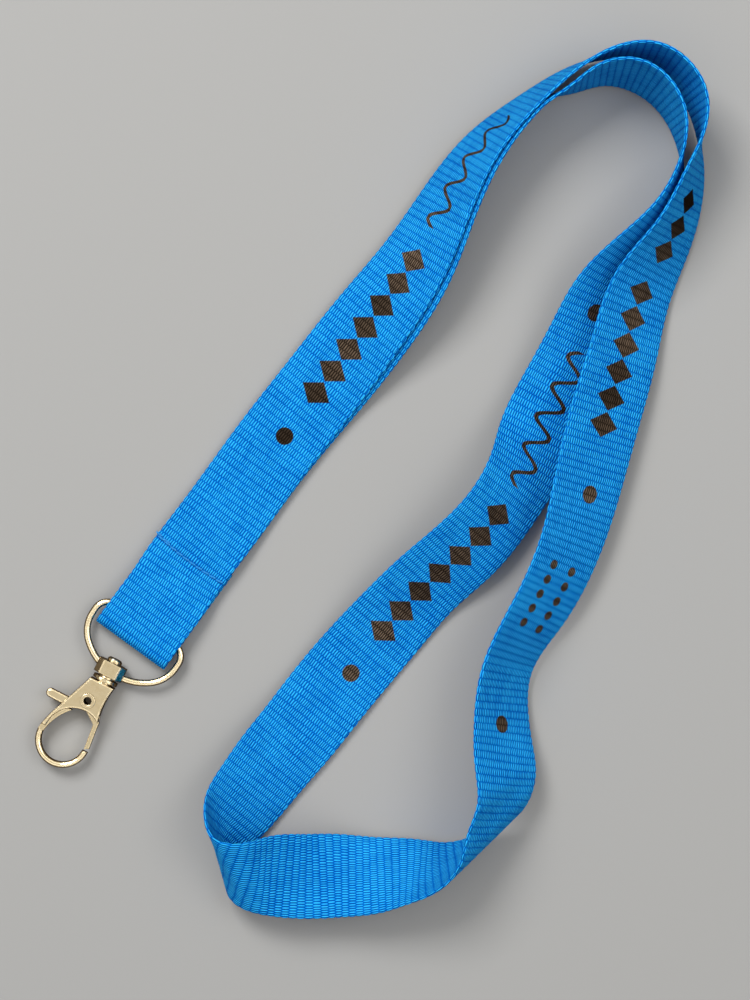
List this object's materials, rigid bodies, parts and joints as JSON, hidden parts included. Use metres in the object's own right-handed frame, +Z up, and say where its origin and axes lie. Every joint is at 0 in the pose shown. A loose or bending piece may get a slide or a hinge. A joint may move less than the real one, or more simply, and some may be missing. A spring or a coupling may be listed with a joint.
{
  "type": "lanyard",
  "caption": "Neck strap of flat woven webbing laid in a loose loop, its sewn end carrying a D-ring and a swivel trigger hook with a sprung gate.",
  "frame": {"origin": "on the table under the middle of the lanyard as it lies", "axes": "+Z up from the table, +Y towards the top of the neck loop, +X to the right seen from above"},
  "size_m": [0.159, 0.205, 0.0228],
  "materials": {
    "webbing": "woven grosgrain, matte",
    "thread": "twisted polyester thread",
    "plated_metal": "polished nickel plate with a warm tint",
    "spring_steel": "drawn wire"
  },
  "bodies": {
    "strap": {"webbing_strap": "webbing", "seam_stitching": "thread"},
    "ring": {"d_ring": "plated_metal"},
    "hook": {"hook_body": "plated_metal", "swivel_pin": "plated_metal", "gate_rivet": "plated_metal", "gate_spring": "spring_steel"},
    "gate": {"gate_lever": "plated_metal"}
  },
  "joints": [
    {"name": "ring_hinge", "type": "hinge", "parent": "strap", "child": "ring", "pos_m": [-0.05405, -0.033, 0.00315], "axis": [-0.8261, 0.5635, 0], "range_deg": [-135, 150]},
    {"name": "hook_swivel", "type": "hinge", "parent": "ring", "child": "hook", "pos_m": [-0.06218, -0.04368, 0.00315], "axis": [-0.4571, -0.8894, 0], "continuous": true},
    {"name": "gate_hinge", "type": "hinge", "parent": "hook", "child": "gate", "pos_m": [-0.06741, -0.051, 0.00315], "axis": [0, 0, -1], "range_deg": [0, 28], "stiffness_Nm_per_rad": 0.02, "springref_deg": -17.19}
  ]
}
